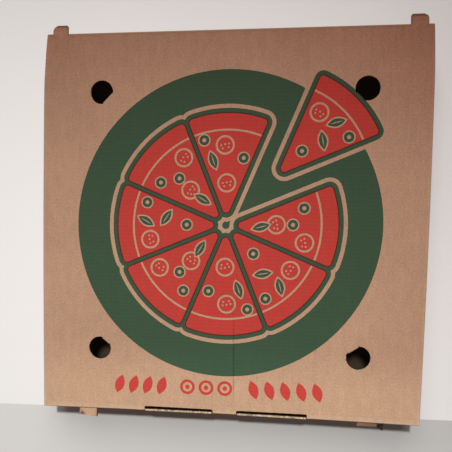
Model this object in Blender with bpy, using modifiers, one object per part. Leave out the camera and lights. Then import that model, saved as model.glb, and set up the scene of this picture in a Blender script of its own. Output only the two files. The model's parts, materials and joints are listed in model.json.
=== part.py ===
"""Shut takeaway pizza box folded from one sheet of brown corrugated board.

The box lies flat with its lid up. +Z is up, +X is the box's right as seen from
the front, the hinge is at +Y and the lock slots are at -Y. The origin is on the
floor under the middle of the box.
"""
import math

import bmesh
import bpy
from mathutils import Vector

# Outer size of the shut box, in metres
LID_WIDTH = 0.330
LID_LENGTH = 0.330
BOX_HEIGHT = 0.040
BOARD = 0.0016
FOLD_RADIUS = 0.0012
FOLD_SEGMENTS = 3

# How far the lid's plan departs from a square: bowed sides, a front edge that
# is pushed in, and sides that draw in towards the hinge
SIDE_BOW = 0.0010
FRONT_BOW = 0.0012
LEFT_TAPER = 0.0028
RIGHT_TAPER = 0.0014
TAPER_LENGTH = 0.055
SIDE_STEPS = 18
FRONT_STEPS = 12
CORNER_REACH = 0.004

# The tray stands just inside the lid, with a seam under the lid's edge
TRAY_INSET = 0.0005
SEAM_HEIGHT = 0.0005
SEAM_DEPTH = 0.0014
CORE_BELOW_SEAM = 0.004
HINGE_STEP = 0.0002
HINGE_STRIP = 0.010

# Four vent holes punched in the lid, each with one straight side where its
# disc of board is still joined and hangs inside
VENT_RADIUS = 0.0101
VENT_CHORD = 0.0072
VENT_X = 0.1127
VENT_BACK_Y = 0.1145
VENT_FRONT_Y = -0.1095
VENT_STEPS = 30
VENT_FLOOR = BOARD

# Two lock slots in the lid's front edge, with the front wall's tabs in them
SLOT_INNER_X = 0.0103
SLOT_OUTER_X = 0.0713
SLOT_BACK_Y = -0.1603
SLOT_DEPTH = 0.009
LOCK_TAB_END_GAP = 0.0007
LOCK_TAB_DROP = 0.0002
LOCK_TAB_SETBACK = 0.0006

# Ears at the hinge, in the lid's plane, cut out of the back wall below them
EAR_ROOT = 0.004
EAR_TOP_DROP = 0.00005
LEFT_EAR = {"inner": 0.1433, "outer": 0.1567, "reach": 0.0068, "outer_cut": 0.0030, "inner_cut": 0.0008}
RIGHT_EAR = {"inner": 0.1449, "outer": 0.1588, "reach": 0.0080, "outer_cut": 0.0036, "inner_cut": 0.0011}
NOTCH_HEIGHT = 0.0085
NOTCH_MARGIN = 0.0004

# Ears at the front, just under the lid: a flat one and a bent one
FRONT_EAR_DROP = 0.0026
FLAT_EAR_REACH = 0.0080
FLAT_EAR_INNER = 0.1150
FLAT_EAR_OUTER = 0.1318
FLAT_EAR_SPREAD = 0.0008
FLAT_EAR_SLANT = 0.0014
BENT_EAR_START = 0.1128
BENT_EAR_WIDTH = 0.0218
BENT_EAR_LENGTH = 0.0082
BENT_EAR_FOLD = math.radians(58)
BENT_EAR_TIP_FOLD = math.radians(24)
BENT_EAR_TWIST_START = 0.68
BENT_EAR_COLUMNS = 14
BENT_EAR_ROWS = 6

# Upright joints at the tray's corners, where the front and back walls' cut ends
# show on the sides
JOINT_WIDTH = 0.0004
JOINT_DEPTH = 0.0005
JOINT_FROM_CORNER = BOARD + 0.0002
JOINT_FOOT = 0.0025

LID_UNDERSIDE = BOX_HEIGHT - BOARD
TRAY_TOP = LID_UNDERSIDE - SEAM_HEIGHT
BACK_Y = LID_LENGTH / 2
MERGE_DISTANCE = 0.000001
LEVEL = 0.99
CUT_MARGIN = 0.002


def clear_scene():
    for old in list(bpy.data.objects):
        bpy.data.objects.remove(old, do_unlink=True)


def new_collection(name):
    collection = bpy.data.collections.new(name)
    bpy.context.scene.collection.children.link(collection)
    return collection


def side_x(y, taper, inset=0.0):
    """Half width of the lid at y: bowed, and drawn in near the hinge."""
    along = (y + LID_LENGTH / 2) / LID_LENGTH
    near_hinge = max(0.0, (y - (BACK_Y - TAPER_LENGTH)) / TAPER_LENGTH)
    return LID_WIDTH / 2 + SIDE_BOW * math.sin(math.pi * along) - taper * near_hinge ** 2 - inset


def front_y(x, inset=0.0):
    """Front edge of the lid at x, pushed in at the middle."""
    return -LID_LENGTH / 2 + FRONT_BOW * (1 - (2 * x / LID_WIDTH) ** 2) + inset


def plan_outline(inset=0.0, back_inset=0.0):
    """Points round the box in plan, anticlockwise from the front left corner."""
    back = BACK_Y - back_inset
    front_corner = LID_WIDTH / 2 - inset
    points = []
    for step in range(FRONT_STEPS):
        x = -front_corner + 2 * front_corner * step / FRONT_STEPS
        points.append((x, front_y(x, inset)))
    corner_y = front_y(front_corner, inset)
    for step in range(SIDE_STEPS + 1):
        y = corner_y + (back - corner_y) * step / SIDE_STEPS
        points.append((side_x(y, RIGHT_TAPER, inset), y))
    for step in range(SIDE_STEPS):
        y = back + (corner_y - back) * step / SIDE_STEPS
        points.append((-side_x(y, LEFT_TAPER, inset), y))
    return points


def outline_solid(name, points, bottom, top, collection):
    """A flat closed outline filled and extruded between two heights."""
    curve = bpy.data.curves.new(name + "_outline", "CURVE")
    curve.dimensions = "2D"
    curve.fill_mode = "BOTH"
    curve.extrude = (top - bottom) / 2
    spline = curve.splines.new("POLY")
    spline.points.add(len(points) - 1)
    for point, (x, y) in zip(spline.points, points):
        point.co = (x, y, 0, 1)
    spline.use_cyclic_u = True
    guide = bpy.data.objects.new(name + "_guide", curve)
    guide.location.z = (top + bottom) / 2
    collection.objects.link(guide)
    bpy.context.view_layer.update()

    evaluated = guide.evaluated_get(bpy.context.evaluated_depsgraph_get())
    mesh = bpy.data.meshes.new_from_object(evaluated)
    mesh.transform(guide.matrix_world)
    bpy.data.objects.remove(guide, do_unlink=True)

    work = bmesh.new()
    work.from_mesh(mesh)
    bmesh.ops.remove_doubles(work, verts=work.verts, dist=MERGE_DISTANCE)
    inside_caps = [
        edge for edge in work.edges
        if len(edge.link_faces) == 2 and all(abs(face.normal.z) > LEVEL for face in edge.link_faces)
    ]
    bmesh.ops.dissolve_edges(work, edges=inside_caps)
    bmesh.ops.recalc_face_normals(work, faces=work.faces)
    work.to_mesh(mesh)
    work.free()
    mesh.name = name
    solid = bpy.data.objects.new(name, mesh)
    collection.objects.link(solid)
    return solid


def block(name, low, high, collection):
    """A cube primitive brought to the given corners."""
    bpy.ops.mesh.primitive_cube_add(size=1)
    cube = bpy.context.active_object
    cube.name = name
    low, high = Vector(low), Vector(high)
    for vertex in cube.data.vertices:
        for axis in range(3):
            share = vertex.co[axis] + 0.5
            vertex.co[axis] = low[axis] + share * (high[axis] - low[axis])
    for other in list(cube.users_collection):
        other.objects.unlink(cube)
    collection.objects.link(cube)
    return cube


def round_edges(solid, wanted):
    """Rounds as folds only the edges whose ends wanted() accepts."""
    mesh = solid.data
    weights = mesh.attributes.new("bevel_weight_edge", "FLOAT", "EDGE")
    for edge in mesh.edges:
        ends = [mesh.vertices[index].co for index in edge.vertices]
        weights.data[edge.index].value = 1.0 if wanted(ends) else 0.0
    bevel = solid.modifiers.new("Folded edge", "BEVEL")
    bevel.limit_method = "WEIGHT"
    bevel.width = FOLD_RADIUS
    bevel.segments = FOLD_SEGMENTS
    bevel.use_clamp_overlap = True


def at_height(ends, height):
    return all(abs(end.z - height) < MERGE_DISTANCE for end in ends)


def tray(collection):
    """The tray's block, with rounded folds at its foot and upright corners."""
    solid = outline_solid("pizza_box", plan_outline(TRAY_INSET, HINGE_STEP), 0.0, TRAY_TOP, collection)

    def upright_corner(ends):
        straight_up = (ends[0].xy - ends[1].xy).length < MERGE_DISTANCE
        near_side = abs(ends[0].x) > LID_WIDTH / 2 - CORNER_REACH
        near_end = abs(ends[0].y) > LID_LENGTH / 2 - TRAY_INSET - MERGE_DISTANCE
        return straight_up and near_side and near_end

    round_edges(solid, lambda ends: at_height(ends, 0.0) or upright_corner(ends))
    return solid


def lid(collection):
    """The lid's board, with rounded folds along its upper edges."""
    solid = outline_solid("lid_board", plan_outline(), LID_UNDERSIDE, BOX_HEIGHT, collection)
    round_edges(solid, lambda ends: at_height(ends, BOX_HEIGHT))
    return solid


def seam_core(collection):
    """Joins tray and lid behind the seam, and makes the back wall run up to the hinge."""
    low = TRAY_TOP - CORE_BELOW_SEAM
    high = BOX_HEIGHT - BOARD / 2
    outline_solid("seam_core", plan_outline(SEAM_DEPTH, SEAM_DEPTH), low, high, collection)
    reach = side_x(BACK_Y, LEFT_TAPER, SEAM_DEPTH)
    block("hinge_strip", (-reach, BACK_Y - HINGE_STRIP, low), (reach, BACK_Y - HINGE_STEP / 2, high), collection)


def back_ear(name, side, shape, collection):
    """One ear in the lid's plane: a short tongue with its corners cut off."""
    inner, outer = shape["inner"], shape["outer"]
    tip = BACK_Y + shape["reach"]
    points = [
        (inner, BACK_Y - EAR_ROOT),
        (outer, BACK_Y - EAR_ROOT),
        (outer, tip - shape["outer_cut"]),
        (outer - shape["outer_cut"], tip),
        (inner + shape["inner_cut"], tip),
        (inner, tip - shape["inner_cut"]),
    ]
    points = [(side * x, y) for x, y in points]
    if side < 0:
        points.reverse()
    top = BOX_HEIGHT - EAR_TOP_DROP
    outline_solid(name, points, LID_UNDERSIDE + EAR_TOP_DROP, top, collection)


def flat_front_ear(collection):
    """The left front ear: a slightly spread, slanting tongue under the lid."""
    top = BOX_HEIGHT - FRONT_EAR_DROP
    root = -LID_LENGTH / 2 + EAR_ROOT
    tip = -LID_LENGTH / 2 - FLAT_EAR_REACH
    points = [
        (-FLAT_EAR_OUTER, root),
        (-FLAT_EAR_OUTER - FLAT_EAR_SPREAD, tip + FLAT_EAR_SLANT),
        (-FLAT_EAR_INNER - FLAT_EAR_SPREAD, tip),
        (-FLAT_EAR_INNER, root),
    ]
    outline_solid("front_ear_left", points, top - BOARD, top, collection)


def bent_front_ear(collection):
    """The right front ear: folded down, less so at its outer corner."""
    work = bmesh.new()
    bmesh.ops.create_grid(work, x_segments=BENT_EAR_COLUMNS, y_segments=BENT_EAR_ROWS, size=0.5)
    root_y = -LID_LENGTH / 2 + LOCK_TAB_SETBACK
    top = BOX_HEIGHT - FRONT_EAR_DROP
    root_share = EAR_ROOT / (EAR_ROOT + BENT_EAR_LENGTH)
    for vertex in work.verts:
        across = vertex.co.x + 0.5
        along = 0.5 - vertex.co.y
        reach = (along - root_share) * (EAR_ROOT + BENT_EAR_LENGTH)
        turned = min(1.0, max(0.0, (across - BENT_EAR_TWIST_START) / (1 - BENT_EAR_TWIST_START)))
        angle = BENT_EAR_FOLD + (BENT_EAR_TIP_FOLD - BENT_EAR_FOLD) * turned
        out = max(0.0, reach)
        vertex.co = Vector((
            BENT_EAR_START + across * BENT_EAR_WIDTH,
            root_y - min(0.0, reach) - out * math.cos(angle),
            top - out * math.sin(angle),
        ))
    mesh = bpy.data.meshes.new("front_ear_right")
    work.to_mesh(mesh)
    work.free()
    ear = bpy.data.objects.new("front_ear_right", mesh)
    collection.objects.link(ear)
    wall = ear.modifiers.new("Board", "SOLIDIFY")
    wall.thickness = BOARD
    wall.offset = -1


def vent_cutters(collection):
    """Round holes with one straight side that faces the middle of the lid."""
    half_chord = math.acos(VENT_CHORD / VENT_RADIUS)
    for name, x, y in (
        ("vent_back_left", -VENT_X, VENT_BACK_Y),
        ("vent_back_right", VENT_X, VENT_BACK_Y),
        ("vent_front_left", -VENT_X, VENT_FRONT_Y),
        ("vent_front_right", VENT_X, VENT_FRONT_Y),
    ):
        to_middle = math.atan2(-math.copysign(1, y), -math.copysign(1, x))
        first = to_middle + half_chord
        sweep = 2 * math.pi - 2 * half_chord
        points = []
        for step in range(VENT_STEPS + 1):
            angle = first + sweep * step / VENT_STEPS
            points.append((x + VENT_RADIUS * math.cos(angle), y + VENT_RADIUS * math.sin(angle)))
        outline_solid(name, points, VENT_FLOOR, BOX_HEIGHT + CUT_MARGIN, collection)


def slot_cutters(collection):
    for side in (-1, 1):
        low_x, high_x = sorted((side * SLOT_INNER_X, side * SLOT_OUTER_X))
        block(
            "slot_left" if side < 0 else "slot_right",
            (low_x, -LID_LENGTH / 2 - CUT_MARGIN, BOX_HEIGHT - SLOT_DEPTH),
            (high_x, SLOT_BACK_Y, BOX_HEIGHT + CUT_MARGIN),
            collection,
        )


def lock_tabs(collection):
    """The front wall's tabs, standing in the slots flush with the lid."""
    for side in (-1, 1):
        inner = side * (SLOT_INNER_X + LOCK_TAB_END_GAP)
        outer = side * (SLOT_OUTER_X - LOCK_TAB_END_GAP)
        low_x, high_x = sorted((inner, outer))
        front = max(front_y(low_x), front_y(high_x)) + LOCK_TAB_SETBACK
        block(
            "lock_tab_left" if side < 0 else "lock_tab_right",
            (low_x, front, BOX_HEIGHT - SLOT_DEPTH - CUT_MARGIN),
            (high_x, front + BOARD, BOX_HEIGHT - LOCK_TAB_DROP),
            collection,
        )


def notch_cutters(collection):
    """The places in the back wall that the hinge ears were cut from."""
    for name, side, shape in (("notch_left", -1, LEFT_EAR), ("notch_right", 1, RIGHT_EAR)):
        inner = side * (shape["inner"] - NOTCH_MARGIN)
        outer = side * (shape["outer"] + NOTCH_MARGIN)
        low_x, high_x = sorted((inner, outer))
        block(
            name,
            (low_x, BACK_Y - HINGE_STEP - BOARD, LID_UNDERSIDE - NOTCH_HEIGHT),
            (high_x, BACK_Y + CUT_MARGIN, LID_UNDERSIDE - NOTCH_MARGIN / 2),
            collection,
        )


def joint_cutters(collection):
    """Fine upright joints on the sides, one board in from each corner."""
    for end, wall_y in (("front", -LID_LENGTH / 2), ("back", BACK_Y)):
        inward = 1 if end == "front" else -1
        near = wall_y + inward * (TRAY_INSET + JOINT_FROM_CORNER)
        low_y, high_y = sorted((near, near + inward * JOINT_WIDTH))
        for side, taper in ((-1, LEFT_TAPER), (1, RIGHT_TAPER)):
            wall = side * side_x((low_y + high_y) / 2, taper, TRAY_INSET)
            low_x, high_x = sorted((wall - side * JOINT_DEPTH, wall + side * CUT_MARGIN))
            block(
                "joint_%s_%s" % (end, "left" if side < 0 else "right"),
                (low_x, low_y, JOINT_FOOT),
                (high_x, high_y, TRAY_TOP - SEAM_HEIGHT),
                collection,
            )


def join(solid, collection, operation, label):
    boolean = solid.modifiers.new(label, "BOOLEAN")
    boolean.operand_type = "COLLECTION"
    boolean.collection = collection
    boolean.operation = operation
    boolean.solver = "EXACT"


def hide_guides(collection):
    for guide in collection.objects:
        guide.hide_render = True
        guide.display_type = "WIRE"


def kraft_material():
    material = bpy.data.materials.new("brown_corrugated_board")
    material.use_nodes = True
    surface = material.node_tree.nodes["Principled BSDF"]
    surface.inputs["Base Color"].default_value = (0.45, 0.27, 0.155, 1)
    surface.inputs["Roughness"].default_value = 0.85
    surface.inputs["Metallic"].default_value = 0.0
    return material


def main():
    clear_scene()
    box_collection = new_collection("pizza_box")
    joined = new_collection("joined_boards")
    cutters = new_collection("cutters")
    tabs = new_collection("lock_tabs")

    box = tray(box_collection)
    lid(joined)
    seam_core(joined)
    back_ear("hinge_ear_left", -1, LEFT_EAR, joined)
    back_ear("hinge_ear_right", 1, RIGHT_EAR, joined)
    flat_front_ear(joined)
    bent_front_ear(joined)
    vent_cutters(cutters)
    slot_cutters(cutters)
    notch_cutters(cutters)
    joint_cutters(cutters)
    lock_tabs(tabs)

    join(box, joined, "UNION", "Lid and ears")
    join(box, cutters, "DIFFERENCE", "Vents, slots and notches")
    join(box, tabs, "UNION", "Lock tabs")
    for guides in (joined, cutters, tabs):
        hide_guides(guides)
    box.data.materials.clear()
    box.data.materials.append(kraft_material())


main()
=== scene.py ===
"""A shut pizza box of corrugated kraft board on a pale floor, seen from above."""
import json
import math
import random

import bmesh
import bpy
import numpy as np
from mathutils import Matrix, Vector
from mathutils.geometry import delaunay_2d_cdt

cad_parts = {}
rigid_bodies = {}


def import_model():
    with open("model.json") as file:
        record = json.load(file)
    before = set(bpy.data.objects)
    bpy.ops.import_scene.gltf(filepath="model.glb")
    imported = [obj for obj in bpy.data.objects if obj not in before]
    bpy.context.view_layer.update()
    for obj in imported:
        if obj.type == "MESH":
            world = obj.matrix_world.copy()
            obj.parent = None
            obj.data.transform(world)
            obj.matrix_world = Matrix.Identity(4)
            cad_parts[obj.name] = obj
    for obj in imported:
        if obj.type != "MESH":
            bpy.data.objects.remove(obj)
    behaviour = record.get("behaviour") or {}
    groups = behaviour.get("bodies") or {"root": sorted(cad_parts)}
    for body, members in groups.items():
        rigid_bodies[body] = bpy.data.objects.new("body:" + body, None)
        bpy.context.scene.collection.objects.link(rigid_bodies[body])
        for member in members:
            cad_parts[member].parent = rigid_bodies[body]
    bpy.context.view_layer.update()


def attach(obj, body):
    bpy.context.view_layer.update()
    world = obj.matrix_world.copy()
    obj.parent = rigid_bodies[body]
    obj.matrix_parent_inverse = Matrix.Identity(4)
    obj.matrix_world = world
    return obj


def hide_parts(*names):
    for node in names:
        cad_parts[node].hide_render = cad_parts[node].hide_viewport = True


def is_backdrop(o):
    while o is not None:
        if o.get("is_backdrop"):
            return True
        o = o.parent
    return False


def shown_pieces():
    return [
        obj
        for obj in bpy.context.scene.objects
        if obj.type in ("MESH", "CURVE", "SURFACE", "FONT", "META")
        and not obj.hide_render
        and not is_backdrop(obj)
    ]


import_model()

# Sizes of the box, in metres: x across, y towards the hinge, z up
LID_WIDTH = 0.330
LID_LENGTH = 0.330
BACK_Y = LID_LENGTH / 2
BOX_HEIGHT = 0.040
BOARD = 0.0016
LINER = 0.00025
FOLD_RADIUS = 0.0012
SIDE_BOW = 0.0010
FRONT_BOW = 0.0012
BOW_FADE = 0.1
LEFT_TAPER = 0.0028
RIGHT_TAPER = 0.0014
TAPER_LENGTH = 0.055
TRAY_INSET = 0.0005
INNER_INSET = 0.0009
SEAM_HEIGHT = 0.0005
SIDE_GAP = 0.0003
CLEARANCE = 0.0002
LID_UNDERSIDE = BOX_HEIGHT - BOARD
TRAY_TOP = LID_UNDERSIDE - SEAM_HEIGHT
FLUTE_PITCH = 0.00335
FLUTE_HEIGHT = 0.00086
FLUTE_PAPER = 0.0002
MM = 0.001
MM_PER_METRE = 1000

# Slots in the lid's front edge and the tray's lock tabs that stand in them
SLOT_INNER_X = 0.0103
SLOT_OUTER_X = 0.0713
SLOT_BACK_Y = -0.1600
LOCK_TAB_END_GAP = 0.0007
LOCK_TAB_TOP = BOX_HEIGHT - CLEARANCE
LOCK_TAB_SETBACK = 0.0006
TAB_LEAN = 0.0008
TAB_LEAN_DEPTH = 0.006
TAB_MARGIN = 0.002
TAB_EASE = 0.003
FRAY_DEPTH = 0.0006
FRAY_COLUMNS = 150
FRAY_SHARES = (0.2, 0.45, 0.7)

# Ears beyond the hinge, flat with the lid
LEFT_EAR = {"inner": 0.1433, "outer": 0.1567, "reach": 0.0068, "outer_cut": 0.0040, "inner_cut": 0.0008}
RIGHT_EAR = {"inner": 0.1449, "outer": 0.1588, "reach": 0.00797, "outer_cut": 0.0036, "inner_cut": 0.0011}
NOTCH_HEIGHT = 0.0085
NOTCH_MARGIN = 0.0004
HINGE_STEP = 0.0002
HINGE_STRIP_START = 0.030
HINGE_STRIP_EASE = 0.006

# Ears under the lid's front edge, one flat and one bent down
FRONT_EAR_TOP = BOX_HEIGHT - 0.0026
EAR_ROOT = 0.004
FLAT_EAR_REACH = 0.0080
FLAT_EAR_INNER = 0.1150
FLAT_EAR_OUTER = 0.1318
FLAT_EAR_SPREAD = 0.0008
FLAT_EAR_SLANT = 0.0014
OPEN_FLUTE = Vector((-0.1294, -0.1707))
OPEN_FLUTE_RADIUS = 0.0009
BENT_EAR_START = 0.1148
BENT_EAR_WIDTH = 0.0212
BENT_EAR_LENGTH = 0.0087
BENT_EAR_FOLD = math.radians(46)
BENT_EAR_TIP_FOLD = math.radians(22)
BENT_EAR_TWIST_START = 0.78

# Vents in the lid's corners, each a circle with one straight side
VENT_RADIUS = 0.0101
VENT_CHORD = 0.0072
VENT_X = 0.1127
VENT_BACK_Y = 0.1145
VENT_FRONT_Y = -0.1095
VENTS = ((-VENT_X, VENT_BACK_Y), (VENT_X, VENT_BACK_Y), (-VENT_X, VENT_FRONT_Y), (VENT_X, VENT_FRONT_Y))
VENT_TURNS = (0.0, 0.0, math.radians(6), math.radians(-12))
VENT_FOLD = 0.0016
VENT_HINGE = VENT_CHORD + VENT_FOLD
VENT_HINGES = (0.0082, 0.0093, 0.0092, VENT_HINGE)
VENT_DISC_LEANS = (96, 98, 95, 97)
VENT_DISC_CURL = 0.25
VENT_DISC_LINES = 0.008
TORN_VENT = 3
TEARS_AT = (2, 5)
TEAR_DEPTH = 0.0007

# Wear: a dished lid, a crease near the front and small nicks in the left edge
LID_DISH = 0.0004
DISH_MARGIN = 0.08
WASHBOARD = 0.000014
CREASE_START = Vector((0.0058, -0.055))
CREASE_END = Vector((0.0079, -0.156))
CREASE_DEPTH = 0.00022
CREASE_WIDTH = 0.0009
CREASE_LINE_WIDTH = 0.0006
NICKS_Y = (0.131, 0.1345, 0.138, 0.1413, 0.145)
NICK_DEPTH = 0.00042
NICK_WIDTH = 0.00055

# The print on the lid
DISC_CENTRE = Vector((-0.0021, 0.0009))
DISC_RADIUS = 0.1311
WHEEL_RADIUS = 0.097
SLICE_COUNT = 8
SLICE_GAP = 0.0045
PULLED_SLICE = 1
PULLED_BY = 0.0547

# Where the white panel under the box meets the grey ledge in front of it
STAGE_LINE_Y = -0.1745
STAGE_LINE_SLOPE = 0.0158
STAGE_HALF = 2.5

# The camera, and the main lamp's place behind and above the box
SENSOR_MM = 36
LENS_MM = 38.706
LENS_SHIFT = (0.0187, 0.12475)
CAMERA_PLACE = (0.03598, -0.02608, 0.45690)
CAMERA_RIGHT = Vector((0.99411, 0.02039, -0.10645))
CAMERA_FORWARD = Vector((-0.10525, -0.05310, -0.99303))
LAMP_PLACE = (0.037, 0.501, 1.406)
LAMP_COLOUR = (0.793, 1.0, 0.987)


def side_x(y, taper, inset=0.0):
    """The lid's half width at y, bowed a little and drawn in near the hinge."""
    along = (y + LID_LENGTH / 2) / LID_LENGTH
    near_hinge = np.maximum(0.0, (y - (BACK_Y - TAPER_LENGTH)) / TAPER_LENGTH)
    return LID_WIDTH / 2 + SIDE_BOW * np.sin(np.pi * along) - taper * near_hinge ** 2 - inset


def half_width(y, sign, inset=0.0):
    """The half width at y on the right where sign is above 0, and otherwise on the left."""
    return side_x(y, np.where(sign > 0, RIGHT_TAPER, LEFT_TAPER), inset)


def front_y(x, inset=0.0):
    """The lid's front edge at x, bowed a little towards the front."""
    return -LID_LENGTH / 2 + FRONT_BOW * (1 - (2 * x / LID_WIDTH) ** 2) + inset


def linear(red, green, blue):
    """A colour given as 0 to 255 per channel, as the shader wants it."""
    def channel(value):
        value /= 255
        return value / 12.92 if value <= 0.04045 else ((value + 0.055) / 1.055) ** 2.4
    return (channel(red), channel(green), channel(blue), 1.0)


def between(start, end, steps):
    """Evenly spaced numbers from start to end, both included."""
    return [start + (end - start) * step / steps for step in range(steps + 1)]


def smoothstep(value):
    """Eases a number or an array from 0 to 1."""
    value = np.clip(value, 0.0, 1.0)
    return value * value * (3 - 2 * value)


def add_node(tree, kind, inputs=None, **settings):
    """Adds a node. Each input is a value, or another node's socket to join to."""
    node = tree.nodes.new(kind)
    for name, value in settings.items():
        setattr(node, name, value)
    for key, value in (inputs or {}).items():
        if isinstance(value, bpy.types.NodeSocket):
            tree.links.new(value, node.inputs[key])
        else:
            node.inputs[key].default_value = value
    return node


def math_node(tree, operation, first, second=0.0, third=None):
    """A math node's result."""
    inputs = {0: first, 1: second}
    if third is not None:
        inputs[2] = third
    return add_node(tree, "ShaderNodeMath", inputs, operation=operation).outputs[0]


def between_values(tree, value, low, high, to_low=0.0, to_high=1.0):
    """Maps a value's range to another, clamped."""
    inputs = {"Value": value, "From Min": low, "From Max": high, "To Min": to_low, "To Max": to_high}
    return add_node(tree, "ShaderNodeMapRange", inputs).outputs["Result"]


def mix_colours(tree, factor, first, second):
    """Two colours mixed by a factor."""
    return add_node(tree, "ShaderNodeMix", {0: factor, 6: first, 7: second}, data_type="RGBA").outputs[2]


def scaled(tree, value, factor):
    """A colour made lighter or darker, or a place measured in another unit, by a factor."""
    return add_node(tree, "ShaderNodeVectorMath", {0: value, "Scale": factor}, operation="SCALE").outputs[0]


def paper_grain_group():
    """The paper's own pattern, read from the place on the flat sheet in millimetres, and the mesh's marks:
    pale wear with a painted highlight, and dark scuffs with painted shade.
    """
    group = bpy.data.node_groups.new("paper_grain", "ShaderNodeTree")
    for name in ("Tone", "Warmth", "Specks", "Pale Specks", "Gaps", "Flute", "Wear And Highlight", "Scuff And Shade", "Height"):
        group.interface.new_socket(name, in_out="OUTPUT", socket_type="NodeSocketFloat")
    blank = add_node(group, "ShaderNodeAttribute", attribute_name="blank")
    wear_and_highlight = add_node(group, "ShaderNodeAttribute", attribute_name="wear_and_highlight").outputs["Fac"]
    scuff_and_shade = add_node(group, "ShaderNodeAttribute", attribute_name="scuff_and_shade").outputs["Fac"]
    flat_mm = scaled(group, blank.outputs["Vector"], MM_PER_METRE)

    def noise(scale, detail, stretch=(1, 1, 1), offset=(0, 0, 0)):
        inputs = {"Vector": flat_mm, "Location": offset, "Scale": stretch}
        placed = add_node(group, "ShaderNodeMapping", inputs).outputs[0]
        inputs = {"Vector": placed, "Scale": scale, "Detail": detail, "Roughness": 0.55}
        return add_node(group, "ShaderNodeTexNoise", inputs).outputs[0]

    def centred(value):
        return math_node(group, "SUBTRACT", value, 0.5)

    # Scales are features per millimetre, and offsets keep the patterns apart
    fibre = noise(1.6, 3, (0.35, 1.5, 1), (3, 5, 0))
    grit = noise(2.6, 2, offset=(11, 2, 0))
    blot = noise(0.62, 2, offset=(17, 44, 0))
    tint = noise(0.2, 3, offset=(71, 8, 0))
    mottle = noise(0.16, 4, (1, 0.55, 1), (40, 0, 0))
    cloud = noise(0.014, 3, offset=(0, 70, 0))
    streak = noise(0.5, 3, (1, 0.04, 1), (9, 9, 0))
    speck = noise(0.95, 1, offset=(60, 31, 0))
    pale = noise(0.8, 1, (0.6, 1.4, 1), (25, 90, 0))
    across = add_node(group, "ShaderNodeSeparateXYZ", {0: flat_mm}).outputs["Y"]
    turns = math_node(group, "MULTIPLY", across, 2 * math.pi / (FLUTE_PITCH * MM_PER_METRE))
    flute = math_node(group, "COSINE", turns)
    ragged = math_node(group, "MULTIPLY_ADD", centred(grit), 1.6, 1.0)
    tone = math_node(group, "MULTIPLY_ADD", flute, 0.006, 1.0)
    layers = ((fibre, 0.40), (grit, 0.34), (blot, 0.24), (mottle, 0.12), (cloud, 0.12), (streak, 0.09))
    for value, amount in layers:
        tone = math_node(group, "MULTIPLY_ADD", centred(value), amount, tone)
    warmth = math_node(group, "ADD", centred(tint), centred(mottle))
    height = math_node(group, "MULTIPLY_ADD", fibre, 0.6, math_node(group, "MULTIPLY", grit, 0.5))
    out = add_node(group, "NodeGroupOutput")
    results = {
        "Tone": tone,
        "Warmth": warmth,
        "Specks": between_values(group, speck, 0.68, 0.76),
        "Pale Specks": between_values(group, pale, 0.66, 0.76),
        "Gaps": between_values(group, grit, 0.60, 0.74),
        "Flute": flute,
        "Wear And Highlight": math_node(group, "MULTIPLY", wear_and_highlight, ragged),
        "Scuff And Shade": math_node(group, "MULTIPLY", scuff_and_shade, ragged),
        "Height": height,
    }
    for name, socket in results.items():
        group.links.new(socket, out.inputs[name])
    return group


PAPER_GRAIN = paper_grain_group()


def paper_material(name, kraft, ink=None, cover=0.94, grain=1.0, roughness=0.9, pale_wear_and_highlight=None):
    """Kraft paper, plain or printed with an ink that lets some of the paper through."""
    material = bpy.data.materials.new(name)
    material.use_nodes = True
    tree = material.node_tree
    shader = tree.nodes["Principled BSDF"]
    paper = add_node(tree, "ShaderNodeGroup", node_tree=PAPER_GRAIN).outputs
    uneven = math_node(tree, "SUBTRACT", paper["Tone"], 1.0)
    colour = scaled(tree, kraft[:3], math_node(tree, "MULTIPLY_ADD", uneven, grain, 1.0))
    lean = add_node(tree, "ShaderNodeCombineXYZ", {
        "X": math_node(tree, "MULTIPLY_ADD", paper["Warmth"], 0.07, 1.0),
        "Y": 1.0,
        "Z": math_node(tree, "MULTIPLY_ADD", paper["Warmth"], -0.03, 1.0),
    }).outputs[0]
    colour = add_node(tree, "ShaderNodeVectorMath", {0: colour, 1: lean}, operation="MULTIPLY").outputs[0]
    for specks, cover_of_specks, change in (("Specks", 0.55, 0.62), ("Pale Specks", 0.45, 1.28)):
        amount = math_node(tree, "MULTIPLY", paper[specks], cover_of_specks)
        colour = mix_colours(tree, amount, colour, scaled(tree, colour, change))
    # Pale worn paper, which on the lid's front fold is partly a painted highlight.
    if pale_wear_and_highlight:
        colour = mix_colours(tree, math_node(tree, "MULTIPLY", paper["Wear And Highlight"], 0.6), colour, pale_wear_and_highlight)
    if ink:
        ink_tone = math_node(tree, "MULTIPLY_ADD", uneven, 1.1, 1.0)
        ink_tone = math_node(tree, "MULTIPLY_ADD", paper["Flute"], 0.025, ink_tone)
        gap = math_node(tree, "MULTIPLY", paper["Gaps"], 1 - cover)
        rubbed = math_node(tree, "MULTIPLY", paper["Wear And Highlight"], 0.4)
        covered = math_node(tree, "SUBTRACT", 1.0, math_node(tree, "MAXIMUM", gap, rubbed))
        colour = mix_colours(tree, covered, colour, scaled(tree, ink[:3], ink_tone))
    # Darkened where the mesh marks scuffs and painted shade: painted shade in cut edges, folds, a slot and
    # the crease.
    dirt_and_shade = math_node(tree, "MULTIPLY_ADD", paper["Scuff And Shade"], -0.5, 1.0)
    tree.links.new(scaled(tree, colour, dirt_and_shade), shader.inputs["Base Color"])
    shader.inputs["Roughness"].default_value = roughness
    shader.inputs["Specular IOR Level"].default_value = 0.12 if ink else 0.2
    relief = {"Height": paper["Height"], "Strength": 0.35, "Distance": 0.00012}
    tree.links.new(add_node(tree, "ShaderNodeBump", relief).outputs[0], shader.inputs["Normal"])
    return material


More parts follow.
